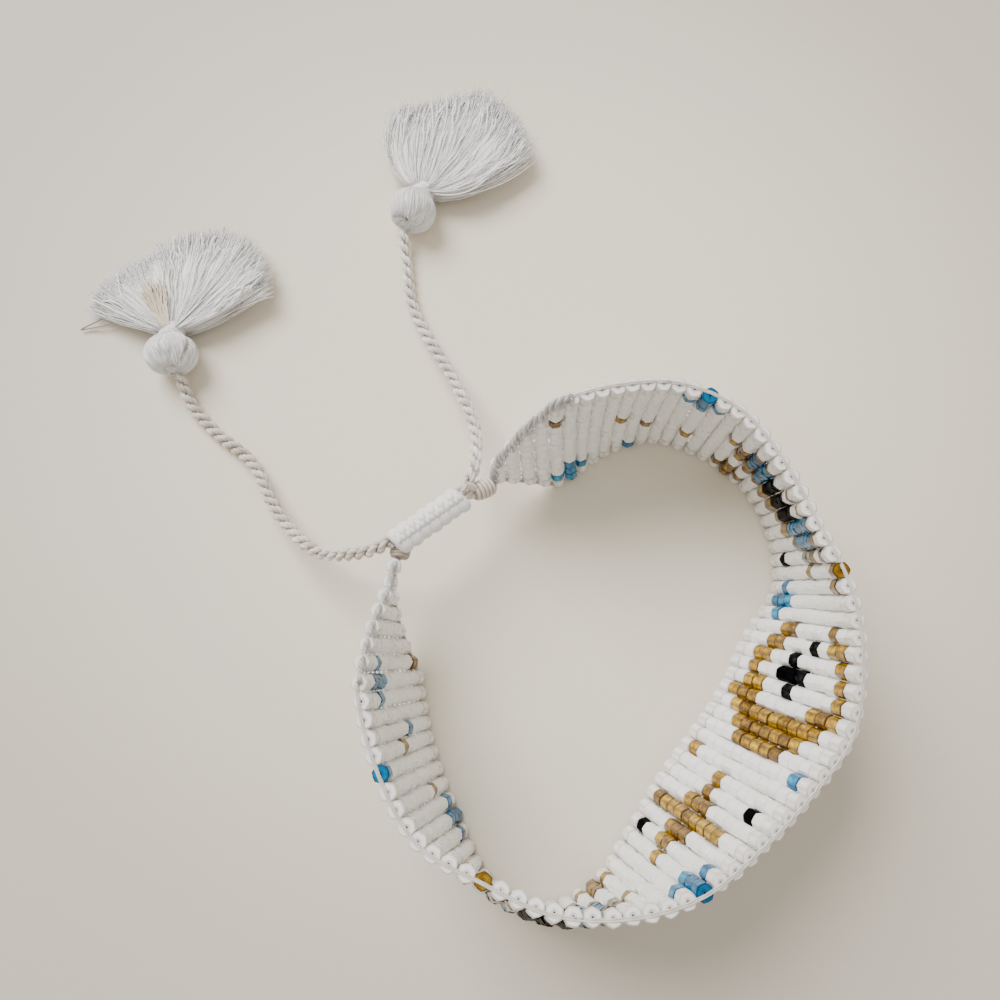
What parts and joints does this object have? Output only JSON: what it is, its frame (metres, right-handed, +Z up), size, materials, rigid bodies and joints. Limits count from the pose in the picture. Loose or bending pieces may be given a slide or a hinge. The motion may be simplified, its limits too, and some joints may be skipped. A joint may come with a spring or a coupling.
{
  "type": "beaded bracelet",
  "caption": "Woven seed-bead band on its edge, closed into a loop by a sliding knot, with two twisted cords that end in tassels.",
  "frame": {"origin": "middle of the box round the band and its closure, on the surface that the band stands on", "axes": "+Z up, across the band's width; the sliding knot lies at -X +Y of the origin, and both cords run out to -X +Y from it"},
  "size_m": [0.0875, 0.1045, 0.0183],
  "materials": {
    "beads_white": "glossy opaque white glass",
    "beads_amber": "clear amber glass with dark rims",
    "beads_blue": "clear sea-blue glass",
    "beads_black": "glossy opaque black glass",
    "thread_clear": "fine waxed beading thread with a sheen",
    "thread_beige": "wound beige thread",
    "thread_cream": "wound cream thread with a silky sheen",
    "cord_white": "knotted white waxed cord",
    "cord_beige": "two-ply twisted cotton, beige",
    "cord_cream": "two-ply twisted cotton, cream",
    "floss_white": "loose white cotton floss"
  },
  "bodies": {
    "root": {"band": "beads_white", "left_tie": "thread_beige", "slide_knot": "cord_white", "end_strand": "thread_cream", "end_knot": "thread_cream", "left_cord": "cord_beige", "right_cord": "cord_cream", "left_tassel": "floss_white", "right_tassel": "floss_white"}
  },
  "joints": []
}
